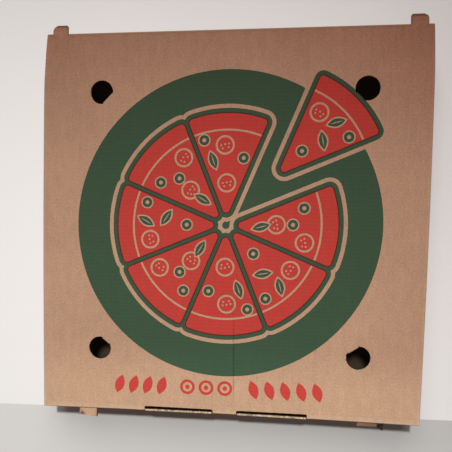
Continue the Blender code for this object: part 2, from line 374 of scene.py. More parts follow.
KRAFT_COLOUR = linear(181, 141, 115)
KRAFT = paper_material("kraft_outer", KRAFT_COLOUR, grain=1.9, pale_wear_and_highlight=linear(205, 172, 145))
KRAFT_INSIDE = paper_material("kraft_inner", linear(176, 139, 112), grain=1.2)
FLUTING = paper_material("kraft_fluting", linear(196, 160, 130), grain=1.3)
RAW_EDGE = paper_material("kraft_cut_edge", linear(214, 183, 154), grain=1.6, roughness=0.95)
FRAYED = paper_material("kraft_torn_edge", linear(196, 168, 140), grain=4.0, roughness=0.97)
GREEN_INK = paper_material("green_ink", KRAFT_COLOUR, linear(59, 79, 59), 0.88, roughness=0.82)
RED_INK = paper_material("red_ink", KRAFT_COLOUR, linear(184, 60, 53), 0.88, roughness=0.85)
DARK_INK = paper_material("red_over_green_ink", KRAFT_COLOUR, linear(74, 38, 30), 0.9, roughness=0.82)


def mesh_object(name, mesh, body="root"):
    """Links a finished mesh as a piece of the box."""
    piece = bpy.data.objects.new(name, mesh)
    bpy.context.scene.collection.objects.link(piece)
    mesh.shade_smooth()
    mesh.set_sharp_from_angle(angle=math.radians(38))
    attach(piece, body)
    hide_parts("pizza_box")


def towards(turn):
    """A unit step in the direction of a turn."""
    return Vector((math.cos(turn), math.sin(turn)))


def rounded(skeleton, radius, step=math.radians(15)):
    """A convex outline grown by a radius with round corners; one point gives a circle, two a capsule."""
    count = len(skeleton)
    if count == 1:
        steps = round(2 * math.pi / step)
        return [skeleton[0] + radius * towards(2 * math.pi * k / steps) for k in range(steps)]
    points = []
    for k, corner in enumerate(skeleton):
        before = corner - skeleton[k - 1]
        after = skeleton[(k + 1) % count] - corner
        start = math.atan2(-before.x, before.y)
        sweep = (math.atan2(-after.x, after.y) - start) % (2 * math.pi)
        steps = max(1, round(sweep / step))
        for turn in between(start, start + sweep, steps):
            points.append(corner + radius * towards(turn))
    return points


def signed_area(ring):
    """Positive for a ring that runs anticlockwise."""
    return sum(a[0] * b[1] - b[0] * a[1] for a, b in zip(ring, ring[1:] + ring[:1])) / 2


def triangulate(outline, holes=(), paints=(), inner=()):
    """Fills a flat outline with triangles that follow the painted shapes; the last shape painted wins.

    Returns the points, the triangles, each triangle's ink, and each ring's place among the points."""
    points = []
    rings = []
    for ring in (outline, *holes, *(shape for shape, ink in paints)):
        numbers = list(range(len(points), len(points) + len(ring)))
        points += [Vector((point[0], point[1])) for point in ring]
        rings.append(numbers if signed_area(ring) > 0 else numbers[::-1])
    ring_ends = len(points)
    points += [Vector(point) for point in inner]
    made = delaunay_2d_cdt(points, [], rings, 0, 1e-7, True)
    places, triangles, sources, owners = made[0], made[2], made[3], made[5]
    first_paint = 1 + len(holes)
    kept = []
    inks = []
    for triangle, inside in zip(triangles, owners):
        if 0 not in inside or any(1 <= ring < first_paint for ring in inside):
            continue
        a, b, c = (places[k] for k in triangle)
        turned = (b - a).cross(c - a)
        if abs(turned) < 1e-14:
            continue
        kept.append(tuple(triangle) if turned > 0 else tuple(reversed(triangle)))
        painted = [ring for ring in inside if ring >= first_paint]
        inks.append(paints[max(painted) - first_paint][1] if painted else 0)
    used = sorted({k for triangle in kept for k in triangle})
    renumber = {old: new for new, old in enumerate(used)}
    found = {}
    for new_point, old_points in enumerate(sources):
        for old in old_points:
            if old < ring_ends and new_point in renumber:
                found[old] = renumber[new_point]
    start = 0
    ring_places = []
    for ring in (outline, *holes):
        ring_places.append([found[start + k] for k in range(len(ring))])
        start += len(ring)
    flat = np.array([places[k][:] for k in used])
    return flat, [tuple(renumber[k] for k in triangle) for triangle in kept], inks, ring_places


def lid_top(x, y):
    """Height of the lid's upper face: dished, rippled over the flutes and creased near the front."""
    to_side = half_width(y, x) - np.abs(x)
    to_front = y - front_y(x)
    to_back = BACK_Y - y
    dish = LID_DISH
    for distance in (to_side, to_front, to_back):
        dish = dish * smoothstep(distance / DISH_MARGIN)
    edge = np.minimum(np.minimum(to_side, to_front), to_back)
    ripple = WASHBOARD * (1 - np.cos(2 * np.pi * y / FLUTE_PITCH)) * smoothstep((edge - 0.001) / 0.005)
    run = CREASE_END - CREASE_START
    along = ((x - CREASE_START.x) * run.x + (y - CREASE_START.y) * run.y) / run.length_squared
    wander = 0.0004 * np.sin(y * 410) + 0.0003 * np.sin(y * 1130 + 1)
    aside = ((x - CREASE_START.x) * run.y - (y - CREASE_START.y) * run.x) / run.length + wander
    strength = smoothstep(along / 0.4) * smoothstep((1 - along) / 0.12) * (0.75 + 0.25 * np.sin(y * 330))
    crease = CREASE_DEPTH * np.exp(-(aside / CREASE_WIDTH) ** 2) * strength
    tip_y = BACK_Y + RIGHT_EAR["reach"] - 0.0013
    crushed = np.where(x > 0, 0.0005, 0.0001) * smoothstep((y - tip_y) / 0.0005)
    droop = 0.00005 * smoothstep(-to_back / 0.001) + 0.02 * np.maximum(0, -to_back - 0.001)
    return BOX_HEIGHT - dish - ripple - crease - crushed - droop


def crease_line(x, y):
    """How dark the painted shade in the crease's thin line is."""
    run = CREASE_END - CREASE_START
    along = (y - CREASE_START.y) / run.y
    aside = x - CREASE_START.x - along * run.x
    line = np.exp(-(aside / CREASE_LINE_WIDTH) ** 2)
    return 0.75 * line * smoothstep(along / 0.5) * smoothstep((1 - along) / 0.2)


def lid_scuffs_and_shade(x, y):
    """Where the lid is darker: painted shade on the hinge ears' inner cut edges and in the crease's line, and
    dark marks at the ears' crushed tips, along the hinge line and on a thin line below the left ear.

    Each place has an amount from 0 to 1 and fades over a length in metres."""
    dirt_and_shade = 0.35 * smoothstep((y - BACK_Y + 0.0030) / 0.0018) * (y < BACK_Y)
    for sign, ear, depth, amount in ((-1, LEFT_EAR, 0.0018, 0.85), (1, RIGHT_EAR, 0.0022, 0.8)):
        on_ear = (y > BACK_Y - 0.0005) & (sign * x > 0)
        tip = BACK_Y + ear["reach"]
        # Painted shade on each ear's inner cut edge.
        inner_side = np.exp(-np.maximum(sign * x - ear["inner"], 0) / 0.0006)
        crushed = smoothstep((y - tip + depth + 0.0003) / 0.0006)
        dirt_and_shade = np.where(on_ear, np.maximum(amount * crushed, 0.9 * inner_side), dirt_and_shade)
    rubbed = np.exp(-((x + 0.1450) / 0.0008) ** 2) * smoothstep((y - 0.128) / 0.02) * (y < BACK_Y)
    dirt_and_shade = np.maximum(np.maximum(dirt_and_shade, 0.16 * rubbed), crease_line(x, y))
    return dirt_and_shade


def ear_outline(side, ear):
    """An ear's points from its outer foot to its inner foot."""
    tip = BACK_Y + ear["reach"]
    points = [
        (ear["outer"], BACK_Y - FOLD_RADIUS),
        (ear["outer"], tip - ear["outer_cut"]),
        (ear["outer"] - ear["outer_cut"] * 0.3, tip - ear["outer_cut"] * 0.45),
        (ear["outer"] - ear["outer_cut"], tip),
        (ear["inner"] + ear["inner_cut"], tip),
        (ear["inner"], tip - ear["inner_cut"]),
        (ear["inner"], BACK_Y - FOLD_RADIUS),
    ]
    return [(side * x, y) for x, y in points]


FRONT_STEP = 0.004
LID_COLUMN = 0.008
ROW = FLUTE_PITCH / 4
ROWS_Y = [ROW * k for k in range(math.ceil(-0.1632 / ROW), math.floor(0.1634 / ROW) + 1)]


def lid_outline(inset=FOLD_RADIUS):
    """The lid's flat outline, anticlockwise, with the way each point's edge folds, or None at a cut."""
    ring = []

    def add(points, fold=None):
        ring.extend((x, y, fold) for x, y in points)

    corner_x = LID_WIDTH / 2 - inset
    edges = (-corner_x, -SLOT_OUTER_X, -SLOT_INNER_X, SLOT_INNER_X, SLOT_OUTER_X, corner_x)
    for number, (start, end) in enumerate(zip(edges, edges[1:])):
        if number in (1, 3):
            add([(x, slot_back(x)) for x in between(start, end, 40)])
        else:
            steps = max(4, round((end - start) / FRONT_STEP))
            add([(x, front_y(x, inset)) for x in between(start, end, steps)], (0, -1))
    ring[0] = (*ring[0][:2], (-1, -1))
    ring[-1] = (*ring[-1][:2], (1, -1))
    hinge_y = BACK_Y - FOLD_RADIUS
    side_rows = [*ROWS_Y, hinge_y]
    add([(side_x(y, RIGHT_TAPER, inset), y) for y in side_rows], (1, 0))
    add(ear_outline(1, RIGHT_EAR))
    add([(x, hinge_y) for x in between(0.138, -0.138, 24)])
    add(ear_outline(-1, LEFT_EAR)[::-1])
    add([(-side_x(y, LEFT_TAPER, inset), y) for y in reversed(side_rows)], (-1, 0))
    return ring


def slot_back(x):
    """The back line of a slot, with corners a little round and an edge that isn't quite straight."""
    from_end = min(abs(x) - SLOT_INNER_X, SLOT_OUTER_X - abs(x))
    corner = 0.0005 * max(0.0, 1 - from_end / 0.0018) ** 2
    return SLOT_BACK_Y - corner + 0.00006 * math.sin(abs(x) * 900)


def vent_way(number):
    """The direction from a vent's centre to the middle of its straight side."""
    x, y = VENTS[number]
    return math.atan2(-math.copysign(1, y), -math.copysign(1, x)) + VENT_TURNS[number]


def vent_ring(number, ragged=0.00008):
    """A vent's hole, clockwise, with the way in which its straight side folds down."""
    x, y = VENTS[number]
    to_middle = vent_way(number)
    hinge = VENT_HINGES[number]
    half = math.acos(hinge / VENT_RADIUS)
    draws = random.Random(31 + number)
    ring = []
    steps = 40
    for step, turn in enumerate(between(to_middle + half, to_middle + 2 * math.pi - half, steps)):
        tear = ragged * draws.uniform(-1, 1) if 0 < step < steps else 0
        if number == TORN_VENT and step in TEARS_AT:
            tear = TEAR_DEPTH
        radius = VENT_RADIUS + tear
        ring.append((x + radius * math.cos(turn), y + radius * math.sin(turn), None))
    fold = (-math.cos(to_middle), -math.sin(to_middle))
    reach = math.sqrt(VENT_RADIUS ** 2 - hinge ** 2)
    foot = (x - hinge * fold[0], y - hinge * fold[1])
    side = (fold[1], -fold[0])
    chord = [(foot[0] + side[0] * s, foot[1] + side[1] * s, fold) for s in between(-reach, reach, 6)]
    if math.dist(chord[0][:2], ring[-1][:2]) > math.dist(chord[-1][:2], ring[-1][:2]):
        chord.reverse()
    ring[0] = (ring[0][0], ring[0][1], fold)
    ring[-1] = (ring[-1][0], ring[-1][1], fold)
    return (ring + chord[1:-1])[::-1]


def finished_mesh(name, co, faces, slots, blank, wear_and_highlight, scuff_and_shade, materials):
    """A mesh that keeps at each point the flat sheet's place, the pale wear with its painted highlight, and
    the dark scuffs with their painted shade.
    """
    mesh = bpy.data.meshes.new(name)
    mesh.from_pydata([tuple(point) for point in co], [], faces)
    for material in materials:
        mesh.materials.append(material)
    mesh.polygons.foreach_set("material_index", np.array(slots, np.int32))
    place = mesh.attributes.new("blank", "FLOAT_VECTOR", "POINT")
    place.data.foreach_set("vector", np.asarray(blank, np.float32).ravel())
    for attribute, values in (("wear_and_highlight", wear_and_highlight), ("scuff_and_shade", scuff_and_shade)):
        layer = mesh.attributes.new(attribute, "FLOAT", "POINT")
        layer.data.foreach_set("value", np.asarray(values, np.float32))
    mesh.update()
    return mesh


def turned_outwards(mesh):
    """The mesh with all its faces pointing outwards."""
    tidy = bmesh.new()
    tidy.from_mesh(mesh)
    bmesh.ops.recalc_face_normals(tidy, faces=tidy.faces)
    tidy.to_mesh(mesh)
    tidy.free()
    return mesh


def made_by(kind, mesh, inputs=None, **settings):
    """The plain mesh that a modifier makes from a mesh, with its settings or its tree's inputs."""
    holder = bpy.data.objects.new("holder", mesh)
    bpy.context.scene.collection.objects.link(holder)
    modifier = holder.modifiers.new("maker", kind)
    for name, value in settings.items():
        setattr(modifier, name, value)
    for identifier, value in (inputs or {}).items():
        modifier[identifier] = value
    depsgraph = bpy.context.evaluated_depsgraph_get()
    made = bpy.data.meshes.new_from_object(holder.evaluated_get(depsgraph), depsgraph=depsgraph)
    bpy.data.objects.remove(holder)
    return made


# Print inks, numbered as the lid's material slots
BARE, GREEN, RED, DARK = range(4)
CUT_EDGE = 4

# Printed rounds and leaves, in millimetres: each radius, or length, width and growth, with its ink
SAUSAGE = ((8.2, BARE), (6.5, RED))
OLIVE = ((5.4, BARE), (4.3, GREEN), (1.7, BARE))
BASIL = ((15, 6.4, 1.3, BARE), (15, 6.4, 0.0, GREEN), (11, 0.8, 0.0, BARE))
ROW_RING = ((6.6, RED), (4.2, BARE), (2.0, RED))
ROW_Y = -0.141

# What lies on a slice, in millimetres from its tip along and beside its middle line, leaves with a lean
LAYOUTS = (
    {"rounds": ((43, 1), (67, -14)), "rings": ((66, 15), (57, 1)), "leaves": ((30, -1, 15),)},
    {"rounds": ((66, 13),), "rings": ((34, 0), (69, -19)), "leaves": ((52, -6, 55), (70, -3, -30))},
    {"rounds": ((36, 0), (68, 2)), "rings": ((57, -14), (72, 20)), "leaves": ((55, 12, 20),)},
)
SLICE_LAYOUTS = (0, 1, 2, 0, 1, 0, 2, 1)


def wheel_slice(number):
    """A slice's place: the turn of its middle line and how far it is pulled out."""
    turn = 2 * math.pi * number / SLICE_COUNT
    return turn, PULLED_BY if number == PULLED_SLICE else 0.0


def on_slice(number, along, aside):
    """A point on a slice, from its tip's place along and beside its middle line."""
    turn, pulled = wheel_slice(number)
    way = towards(turn)
    return DISC_CENTRE + way * (along + pulled) + Vector((-way.y, way.x)) * aside


def slice_skeleton(number, outer, inset):
    """The core of a slice: its tip and its round end, set in by the same amount all round."""
    half = math.pi / SLICE_COUNT
    tip = inset / math.sin(half)
    reach = outer - inset
    widest = half - math.asin(inset / reach)
    points = [on_slice(number, tip, 0)]
    for turn in between(-widest, widest, 10):
        points.append(on_slice(number, reach * math.cos(turn), reach * math.sin(turn)))
    return points


def leaf(centre, turn, length, width, grow=0.0):
    """A pointed oval: two arcs that meet at the tips."""
    way = towards(turn)
    side = Vector((-way.y, way.x))
    upper = between(-1, 1, 14)
    half_length = length / 2 + grow * 1.4
    half_width = width / 2 + grow
    points = [centre + way * (half_length * t) - side * (half_width * (1 - t * t)) for t in upper]
    points += [centre + way * (half_length * t) + side * (half_width * (1 - t * t)) for t in upper[-2:0:-1]]
    return points


def printed_rounds(centre, radii):
    """Rounds with one centre, printed one on the other."""
    return [(rounded([centre], radius * MM), ink) for radius, ink in radii]


def leaf_row(start, end, count, lean):
    """Leaves in the row below the wheel, from one place across the lid to another."""
    places = [Vector((x, ROW_Y)) for x in between(start, end, count - 1)]
    return [(leaf(place, math.radians(lean), 17 * MM, 8.5 * MM), RED) for place in places]


def topping_shapes(number):
    """The rounds, rings and leaves printed on one slice; neighbours take different layouts."""
    layout = LAYOUTS[SLICE_LAYOUTS[number]]
    turn = wheel_slice(number)[0]
    shapes = []
    for along, aside in layout["rounds"]:
        centre = on_slice(number, along * MM, aside * MM)
        shapes += printed_rounds(centre, SAUSAGE)
        for k in range(5):
            dot_turn = turn + 2 * math.pi * (k + 0.3 * (k % 2)) / 5
            dot = centre + towards(dot_turn) * (3.5 * MM if k else 0.6 * MM)
            shapes.append((rounded([dot], 0.85 * MM, math.radians(45)), BARE))
    for along, aside in layout["rings"]:
        shapes += printed_rounds(on_slice(number, along * MM, aside * MM), OLIVE)
    for along, aside, lean in layout["leaves"]:
        centre = on_slice(number, along * MM, aside * MM)
        for length, width, grow, ink in BASIL:
            shapes.append((leaf(centre, turn + math.radians(lean), length * MM, width * MM, grow * MM), ink))
    return shapes


def crust_line(number):
    """A thin bare line that sets a slice's crust off from its middle."""
    half = math.pi / SLICE_COUNT
    points = []
    for radius, way in ((80.0 * MM, 1), (81.7 * MM, -1)):
        end = half - math.asin(SLICE_GAP / 2 / radius) - 0.3 * MM / radius
        for turn in between(-end * way, end * way, 16):
            points.append(on_slice(number, radius * math.cos(turn), radius * math.sin(turn)))
    return points


def lid_print():
    """All printed shapes in the order in which they lie on each other."""
    shapes = [(rounded([DISC_CENTRE], DISC_RADIUS, math.radians(2.5)), GREEN)]
    corner = 3 * MM
    for grow, ink in ((7.7, BARE), (4.3, GREEN), (0.9, DARK), (0.0, RED)):
        for number in range(SLICE_COUNT):
            skeleton = slice_skeleton(number, WHEEL_RADIUS, SLICE_GAP / 2 + corner)
            shapes.append((rounded(skeleton, corner + grow * MM), ink))
    for number in range(SLICE_COUNT):
        shapes.append((crust_line(number), BARE))
        shapes += topping_shapes(number)
    shapes += leaf_row(-0.094, -0.056, 4, 72)
    for x in between(-0.033, 0.0, 2):
        shapes += printed_rounds(Vector((x, ROW_Y)), ROW_RING)
    shapes += leaf_row(0.025, 0.0795, 5, 108)
    return shapes


def fold_profile(y, side):
    """The steps of the lid's folded edge: how far out, down and along the sheet, and the pale wear, which on
    the front fold is partly a painted highlight.

    The liner goes round the fold, turns in under the board and hangs down behind the tray's wall."""
    nick = 0.0
    if side == (-1, 0):
        for nick_y in NICKS_Y:
            nick = max(nick, NICK_DEPTH * math.exp(-((y - nick_y) / NICK_WIDTH) ** 2))
    ripple = 0.00002 * (1 - math.cos(2 * math.pi * y / FLUTE_PITCH)) + nick
    steps = []
    # The front fold is paler than the sides: wear and a painted highlight.
    pale_wear_and_highlight = 0.8 if side[1] else 0.35
    for turn in (0.35, 0.75, 1.15, math.pi / 2):
        out = math.sin(turn) * (FOLD_RADIUS - ripple)
        steps.append((out, FOLD_RADIUS * (1 - math.cos(turn)), FOLD_RADIUS * turn, pale_wear_and_highlight))
    arc = FOLD_RADIUS * math.pi / 2
    steps.append((FOLD_RADIUS - ripple, BOARD - 0.0002, arc + 0.0003, 0.8))
    steps.append((FOLD_RADIUS - 0.0003, BOARD, arc + 0.0006, 0.5))
    steps.append((FOLD_RADIUS - 0.0022, BOARD + 0.0001, arc + 0.0024, 0.2))
    steps.append((FOLD_RADIUS - 0.0025, 0.010, arc + 0.0110, 0.0))
    return steps


def vent_profile(y, side):
    """The steps of the fold from which a vent's disc hangs."""
    steps = []
    for turn in between(0, math.pi / 2, 5)[1:]:
        steps.append((VENT_FOLD * math.sin(turn), VENT_FOLD * (1 - math.cos(turn)), VENT_FOLD * turn, 0.2))
    return steps


def lid_liner():
    """The lid's printed outer liner in one sheet, with its ears, folded edges and vents."""
    outline = lid_outline()
    holes = [vent_ring(number) for number in range(4)]
    inner = []
    columns = [LID_COLUMN * k for k in range(-19, 20)]
    for y in ROWS_Y:
        inner += [(x, y) for x in columns]
        for taper, sign in ((LEFT_TAPER, -1), (RIGHT_TAPER, 1)):
            inner += [(sign * side_x(y, taper, inset), y) for inset in (0.0021, 0.0034)]
        if CREASE_END.y < y < CREASE_START.y:
            share = (y - CREASE_START.y) / (CREASE_END.y - CREASE_START.y)
            middle = CREASE_START.x + share * (CREASE_END.x - CREASE_START.x)
            inner += [(middle + offset * CREASE_WIDTH, y) for offset in (-2, -1.2, -0.6, 0, 0.6, 1.2, 2)]
    for sign, ear in ((-1, LEFT_EAR), (1, RIGHT_EAR)):
        for x in between(ear["inner"] + 0.001, ear["outer"] - 0.001, 12):
            inner += [(sign * x, y) for y in between(BACK_Y, BACK_Y + ear["reach"] - 0.0004, 14)]
    flat, faces, slots, rings = triangulate(outline, holes, lid_print(), inner)
    x, y = flat[:, 0], flat[:, 1]
    co = list(np.column_stack([x, y, lid_top(x, y)]))
    blank = [np.array([px, py, 0.0]) for px, py in flat]
    to_edge = np.minimum(half_width(y, x) - np.abs(x), y - front_y(x))
    to_edge = np.minimum(to_edge, np.abs(BACK_Y - y) + 0.0006)
    # Pale wear along the lid's edges, stronger at the front as a painted highlight.
    at_front = np.where(y < -0.155, 0.75, 0.3)
    wear_and_highlight = list(at_front * np.exp(-np.maximum(to_edge - FOLD_RADIUS, 0) / 0.0008))
    scuff_and_shade = list(lid_scuffs_and_shade(x, y))
    profiles = [fold_profile] + [vent_profile] * 4
    inks = (BARE, BARE, GREEN, BARE, BARE)
    for ring, numbers, profile, ink in zip([outline, *holes], rings, profiles, inks):
        rows = []
        for (px, py, fold), number in zip(ring, numbers):
            if fold is None:
                rows.append(None)
                continue
            row = [number]
            top = co[number][2]
            for out, down, run, pale_wear_and_highlight in profile(py, fold):
                co.append(np.array([px + fold[0] * out, py + fold[1] * out, top - down]))
                blank.append(np.array([px + fold[0] * run, py + fold[1] * run, 0.0]))
                wear_and_highlight.append(pale_wear_and_highlight)
                # The green vent fold gets painted shade; other folds take half of the lid's scuffs and shade.
                scuff_and_shade.append(0.7 if ink == GREEN else scuff_and_shade[number] * 0.5)
                row.append(len(co) - 1)
            rows.append(row)
        for first, second in zip(rows, rows[1:] + rows[:1]):
            if first is None or second is None:
                continue
            for a, b, c, d in zip(first[1:], second[1:], second[:-1], first[:-1]):
                faces.append((a, b, c, d))
                slots.append(ink)
    materials = (KRAFT, GREEN_INK, RED_INK, DARK_INK, RAW_EDGE)
    mesh = finished_mesh("lid_print_liner", co, faces, slots, blank, wear_and_highlight, scuff_and_shade, materials)
    solid = made_by("SOLIDIFY", mesh, thickness=LINER, offset=-1, material_offset_rim=CUT_EDGE)
    mesh_object("lid_print_liner", solid)


def fluted_tree():
    """Geometry Nodes: a waved sheet of paper over the slab that it is given, cut to its outline."""
    tree = bpy.data.node_groups.new("fluted_medium", "GeometryNodeTree")
    tree.is_modifier = True
    face = tree.interface
    face.new_socket("Geometry", in_out="INPUT", socket_type="NodeSocketGeometry")
    sizes = {"Pitch": FLUTE_PITCH, "Height": FLUTE_HEIGHT, "Paper": FLUTE_PAPER, "Column Width": 0.02}
    for name, value in sizes.items():
        face.new_socket(name, in_out="INPUT", socket_type="NodeSocketFloat").default_value = value
    face.new_socket("Steps", in_out="INPUT", socket_type="NodeSocketInt").default_value = 8
    face.new_socket("Material", in_out="INPUT", socket_type="NodeSocketMaterial")
    face.new_socket("Geometry", in_out="OUTPUT", socket_type="NodeSocketGeometry")
    given = add_node(tree, "NodeGroupInput").outputs
    box = add_node(tree, "GeometryNodeBoundBox", {"Geometry": given["Geometry"]}).outputs

    def vector(operation, first, second):
        inputs = {0: first}
        inputs["Scale" if operation == "SCALE" else 1] = second
        return add_node(tree, "ShaderNodeVectorMath", inputs, operation=operation).outputs[0]

    def parts(value):
        return add_node(tree, "ShaderNodeSeparateXYZ", {0: value}).outputs

    middle = vector("SCALE", vector("ADD", box["Min"], box["Max"]), 0.5)
    size = parts(vector("ADD", vector("SUBTRACT", box["Max"], box["Min"]), (0.0004, 0.0004, 0)))
    per_flute = math_node(tree, "DIVIDE", given["Pitch"], given["Steps"])
    rows = math_node(tree, "CEIL", math_node(tree, "DIVIDE", size["Y"], per_flute))
    columns = math_node(tree, "CEIL", math_node(tree, "DIVIDE", size["X"], given["Column Width"]))
    grid = add_node(tree, "GeometryNodeMeshGrid", {
        "Size X": size["X"],
        "Size Y": size["Y"],
        "Vertices X": math_node(tree, "ADD", columns, 1.0),
        "Vertices Y": math_node(tree, "ADD", rows, 1.0),
    }).outputs["Mesh"]
    place = vector("ADD", add_node(tree, "GeometryNodeInputPosition").outputs[0], middle)
    turns = math_node(tree, "DIVIDE", parts(place)["Y"], given["Pitch"])
    wave = math_node(tree, "COSINE", math_node(tree, "MULTIPLY", turns, 2 * math.pi))
    lift = math_node(tree, "MULTIPLY", wave, math_node(tree, "MULTIPLY", given["Height"], 0.5))
    lift = math_node(tree, "SUBTRACT", lift, math_node(tree, "MULTIPLY", given["Paper"], 0.5))
    up = add_node(tree, "ShaderNodeCombineXYZ", {"Z": lift}).outputs[0]
    lifted = vector("ADD", place, up)
    waved = add_node(tree, "GeometryNodeSetPosition", {"Geometry": grid, "Position": lifted}).outputs[0]
    through = add_node(tree, "ShaderNodeCombineXYZ", {"Z": given["Paper"]}).outputs[0]
    thickened = {"Mesh": waved, "Offset": through, "Individual": False}
    upper = add_node(tree, "GeometryNodeExtrudeMesh", thickened)
    lower = add_node(tree, "GeometryNodeFlipFaces", {"Mesh": waved})
    both = add_node(tree, "GeometryNodeJoinGeometry", {"Geometry": upper.outputs["Mesh"]})
    tree.links.new(lower.outputs[0], both.inputs["Geometry"])
    sheet = add_node(tree, "GeometryNodeMergeByDistance", {"Geometry": both.outputs[0], "Distance": 0.000002})
    cut = add_node(tree, "GeometryNodeMeshBoolean", {"Mesh 2": sheet.outputs[0]},
                   operation="INTERSECT", solver="EXACT")
    tree.links.new(given["Geometry"], cut.inputs["Mesh 2"])
    real = add_node(tree, "GeometryNodeRealizeInstances", {"Geometry": cut.outputs["Mesh"]}).outputs[0]
    dressed = add_node(tree, "GeometryNodeSetMaterial", {"Geometry": real, "Material": given["Material"]})
    out = add_node(tree, "NodeGroupOutput")
    tree.links.new(dressed.outputs[0], out.inputs["Geometry"])
    return tree


FLUTED_MEDIUM = fluted_tree()


def slab(flat, triangles, low, high, skin, rim):
    """A flat filled outline given a thickness: points, faces and each face's slot."""
    count = len(flat)
    co = [(u, v, high) for u, v in flat] + [(u, v, low) for u, v in flat]
    faces = [*triangles, *((c + count, b + count, a + count) for a, b, c in triangles)]
    slots = [skin] * len(faces)
    edges = {pair for a, b, c in triangles for pair in ((a, b), (b, c), (c, a))}
    for a, b in sorted(edges):
        if (b, a) not in edges:
            faces.append((a + count, b + count, b, a))
            slots.append(rim)
    return co, faces, slots


def fluting(outline, holes, column_width):
    """The waved paper between two liners, cut to a piece's outline."""
    flat, triangles, _, _ = triangulate(outline, holes)
    co, faces, _ = slab(flat, triangles, 0.0001, BOARD - 0.0001, 0, 0)
    mesh = bpy.data.meshes.new("fluting_slab")
    mesh.from_pydata(co, [], faces)
    wanted = {"Column Width": column_width, "Material": FLUTING}
    sockets = [item for item in FLUTED_MEDIUM.interface.items_tree if item.in_out == "INPUT"]
    inputs = {item.identifier: wanted[item.name] for item in sockets if item.name in wanted}
    waved = made_by("NODES", mesh, inputs, node_group=FLUTED_MEDIUM)
    co = [tuple(vertex.co) for vertex in waved.vertices]
    faces = [tuple(face.vertices) for face in waved.polygons]
    bpy.data.meshes.remove(waved)
    return co, faces, [2] * len(faces)


def cut_at_lines(ring, u_lines, v_lines):
    """Adds a point to a ring wherever it crosses one of the lines."""
    result = []
    for start, end in zip(ring, ring[1:] + ring[:1]):
        shares = set()
        for axis, lines in ((0, u_lines), (1, v_lines)):
            run = end[axis] - start[axis]
            for line in lines:
                if abs(run) > 1e-9 and 1e-4 < (line - start[axis]) / run < 1 - 1e-4:
                    shares.add(round((line - start[axis]) / run, 6))
        result.append((start[0], start[1]))
        for share in sorted(shares):
            result.append((start[0] + share * (end[0] - start[0]), start[1] + share * (end[1] - start[1])))
    return result


def board(name, outline, place, u_lines, v_lines, holes=(), outer=True, column_width=0.02,
          wear_and_highlight=None, scuff_and_shade=None, shift=(0, 0)):
    """A piece of corrugated board, cut flat and then bent: two liners with the fluting between them."""
    ring = cut_at_lines(list(outline), u_lines, v_lines)
    low_u, high_u = min(p[0] for p in ring), max(p[0] for p in ring)
    low_v, high_v = min(p[1] for p in ring), max(p[1] for p in ring)
    inner = [(u, v) for u in u_lines if low_u < u < high_u for v in v_lines if low_v < v < high_v]
    flat, triangles, _, _ = triangulate(ring, holes, (), inner)
    layers = [slab(flat, triangles, 0.0, LINER, 1, 3), fluting(ring, holes, column_width)]
    if outer:
        layers.append(slab(flat, triangles, BOARD - LINER, BOARD, 0, 3))
    co, faces, slots = [], [], []
    for layer_co, layer_faces, layer_slots in layers:
        start = len(co)
        co += layer_co
        faces += [tuple(k + start for k in face) for face in layer_faces]
        slots += layer_slots
    u, v, w = np.array(co).T
    pale_wear_and_highlight = wear_and_highlight(u, v) if wear_and_highlight else np.zeros(len(co))
    dirt_and_shade = scuff_and_shade(u, v) if scuff_and_shade else np.zeros(len(co))
    blank = np.column_stack([u + shift[0], v + shift[1], np.zeros(len(co))])
    bent_co = np.column_stack(place(u, v, w))
    materials = (KRAFT, KRAFT_INSIDE, FLUTING, RAW_EDGE)
    mesh = finished_mesh(name, bent_co, faces, slots, blank, pale_wear_and_highlight, dirt_and_shade, materials)
    mesh_object(name, turned_outwards(mesh))


ARC = FOLD_RADIUS * math.pi / 2
QUARTER = math.pi / 2
FOLD_CRUSH = 0.6


def bent(run, start, heading, stretches):
    """Follows straight and curved stretches: place, outward normal and how thick the board stays."""
    point, angle, passed = Vector(start), heading, 0.0
    across, up = np.zeros_like(run), np.zeros_like(run)
    way, kept = np.zeros_like(run), np.ones_like(run)
    for number, (length, turn) in enumerate(stretches):
        here = run >= passed - 1e-9 if number else np.full(run.shape, True)
        s = run - passed
        if turn:
            radius = length / turn
            turned = angle + s / radius
            new_across = point.x + radius * (np.sin(turned) - math.sin(angle))
            new_up = point.y - radius * (np.cos(turned) - math.cos(angle))
            end = angle + turn
            step = Vector((math.sin(end) - math.sin(angle), math.cos(angle) - math.cos(end))) * radius
        else:
            turned = np.full_like(run, angle)
            new_across = point.x + s * math.cos(angle)
            new_up = point.y + s * math.sin(angle)
            step = towards(angle) * length
        across = np.where(here, new_across, across)
        up = np.where(here, new_up, up)
        way = np.where(here, turned, way)
        kept = np.where(here, FOLD_CRUSH if turn else 1.0, kept)
        point = point + step
        angle += turn
        passed += length
    return across, up, np.sin(way), -np.cos(way), kept


def fold_wear(run, folds):
    """Pale wear on each fold of a bent piece."""
    pale_wear_and_highlight = np.zeros_like(run)
    for fold in folds:
        pale_wear_and_highlight = np.maximum(pale_wear_and_highlight, np.exp(-(np.abs(run - fold - ARC / 2) / 0.0016) ** 2))
    return pale_wear_and_highlight * 0.8


TRAY_FRONT = -LID_LENGTH / 2 + TRAY_INSET
TRAY_BACK = BACK_Y - HINGE_STEP
TRAY_DEPTH = TRAY_BACK - TRAY_FRONT
FRONT_FOLD = TRAY_TOP - FOLD_RADIUS
BOTTOM_START = FRONT_FOLD + ARC
BACK_FOLD = BOTTOM_START + TRAY_DEPTH - 2 * FOLD_RADIUS
BACK_START = BACK_FOLD + ARC
HINGE_FOLD = BACK_START + BOX_HEIGHT - 2 * FOLD_RADIUS
HINGE_END = HINGE_FOLD + ARC
WRAP_HALF = LID_WIDTH / 2


def tab_face(x):
    """The outer face of a lock tab at its top; the tabs lean out a little."""
    return front_y(x, TRAY_INSET) - TAB_LEAN


